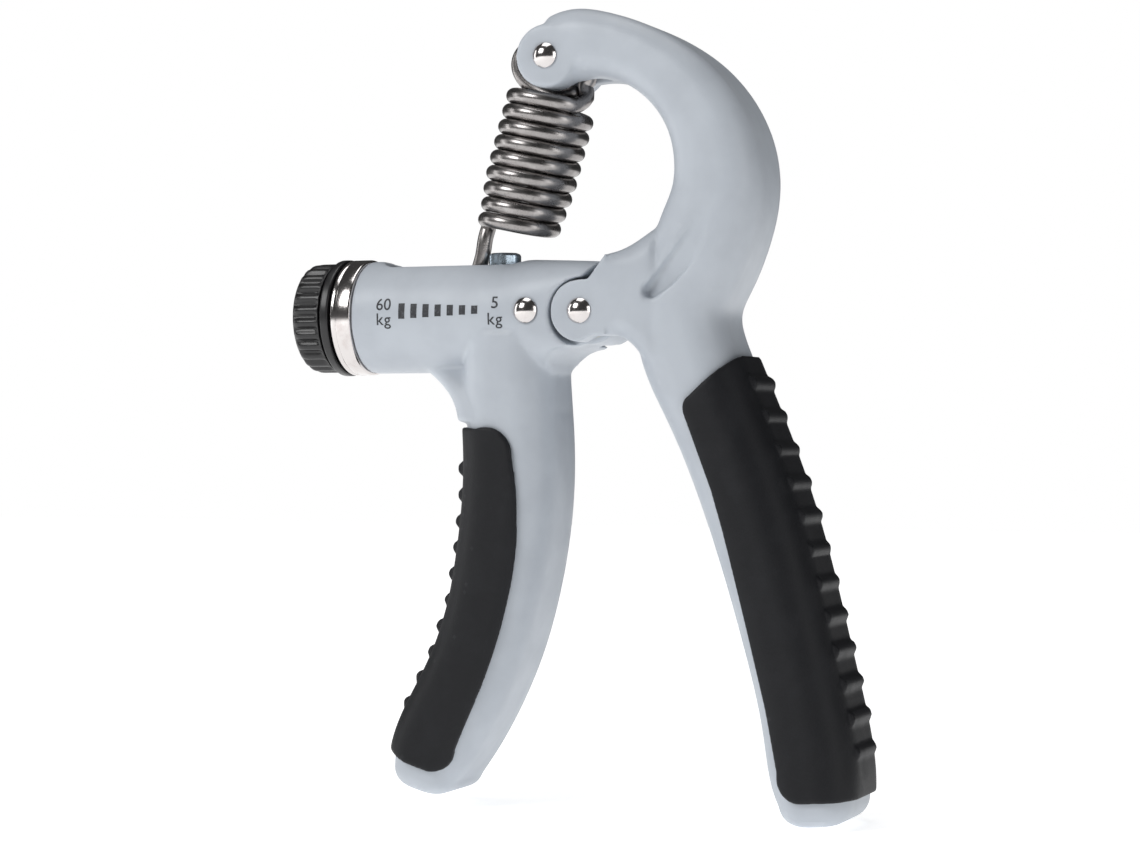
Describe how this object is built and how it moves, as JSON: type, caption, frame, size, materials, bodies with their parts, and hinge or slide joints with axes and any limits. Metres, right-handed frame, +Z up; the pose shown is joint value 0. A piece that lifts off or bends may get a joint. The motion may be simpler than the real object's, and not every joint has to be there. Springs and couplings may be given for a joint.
{
  "type": "adjustable hand grip strengthener",
  "caption": "Two-handle spring hand grip: a bowed palm handle and a hinged finger handle, with a coil spring set by a screw knob in a barrel.",
  "frame": {"origin": "on the symmetry plane, below the middle of the object, at the height of its lowest point", "axes": "+Z up along the handles, +X from the knob towards the palm handle, +Y through the thickness to the back"},
  "size_m": [0.1148, 0.0252, 0.1535],
  "materials": {
    "shell": "satin moulded",
    "grip": "matte",
    "knob": "semi-gloss",
    "bright": "polished",
    "spring": "dark drawn wire",
    "zinc": "zinc plated",
    "steel": "turned",
    "print": "printed",
    "nylon": "moulded"
  },
  "bodies": {
    "palm": {"palm_handle": "shell", "palm_grip": "grip", "pivot_rivet": "bright"},
    "finger": {"finger_handle": "shell", "finger_grip": "grip", "barrel_rivet": "bright", "bearing_block": "nylon", "trim_ring": "bright", "thrust_washer": "nylon", "pivot_washers": "nylon", "scale_bars": "print", "scale_numerals": "print"},
    "adjuster": {"knob": "knob", "lead_screw": "steel", "retaining_clip": "steel"},
    "carriage": {"carriage": "steel", "hook_screw": "zinc", "hook_washer": "zinc"},
    "spring_pin": {"spring_rivet": "bright"},
    "spring_top": {"spring_upper": "spring"},
    "spring_coils": {"spring_middle": "spring"},
    "spring_foot": {"spring_lower": "spring"}
  },
  "joints": [
    {"name": "squeeze", "type": "hinge", "parent": "palm", "child": "finger", "pos_m": [0.00414, 0, 0.09563], "axis": [0, -1, 0], "range_deg": [0, 28], "stiffness_Nm_per_rad": 7.5, "springref_deg": -22.92},
    {"name": "knob_turn", "type": "hinge", "parent": "finger", "child": "adjuster", "pos_m": [-0.05386, 0, 0.09538], "axis": [1, 0, 0], "range_deg": [0, 5041]},
    {"name": "carriage_slide", "type": "slide", "parent": "finger", "child": "carriage", "axis": [-1, 0, 0], "range_m": [0, 0.0175]},
    {"name": "spring_swing", "type": "hinge", "parent": "palm", "child": "spring_pin", "pos_m": [-0.00366, 0, 0.14433], "axis": [0, -1, 0], "range_deg": [0, 4.72]},
    {"name": "spring_lean", "type": "hinge", "parent": "spring_pin", "child": "spring_top", "pos_m": [-0.00366, 0, 0.14433], "axis": [0, 1, 0], "range_deg": [0, 16.61], "deforming": ["spring_upper"]},
    {"name": "spring_stretch", "type": "slide", "parent": "spring_top", "child": "spring_coils", "axis": [-0.2793, 0, -0.9602], "range_m": [0, 0.01186], "deforming": ["spring_middle"]},
    {"name": "spring_preload", "type": "slide", "parent": "spring_coils", "child": "spring_foot", "axis": [-0.2793, 0, -0.9602], "range_m": [0, 0.00951], "deforming": ["spring_lower"]}
  ],
  "couplings": [
    {"joint": "knob_turn", "follows": "carriage_slide", "rad_per_m": 5026.5},
    {"joint": "spring_swing", "follows": "squeeze", "ratio": 0.16676},
    {"joint": "spring_lean", "follows": "carriage_slide", "rad_per_m": 16.517},
    {"joint": "spring_stretch", "follows": "squeeze", "m_per_rad": 0.024246},
    {"joint": "spring_preload", "follows": "carriage_slide", "ratio": 0.5428}
  ]
}
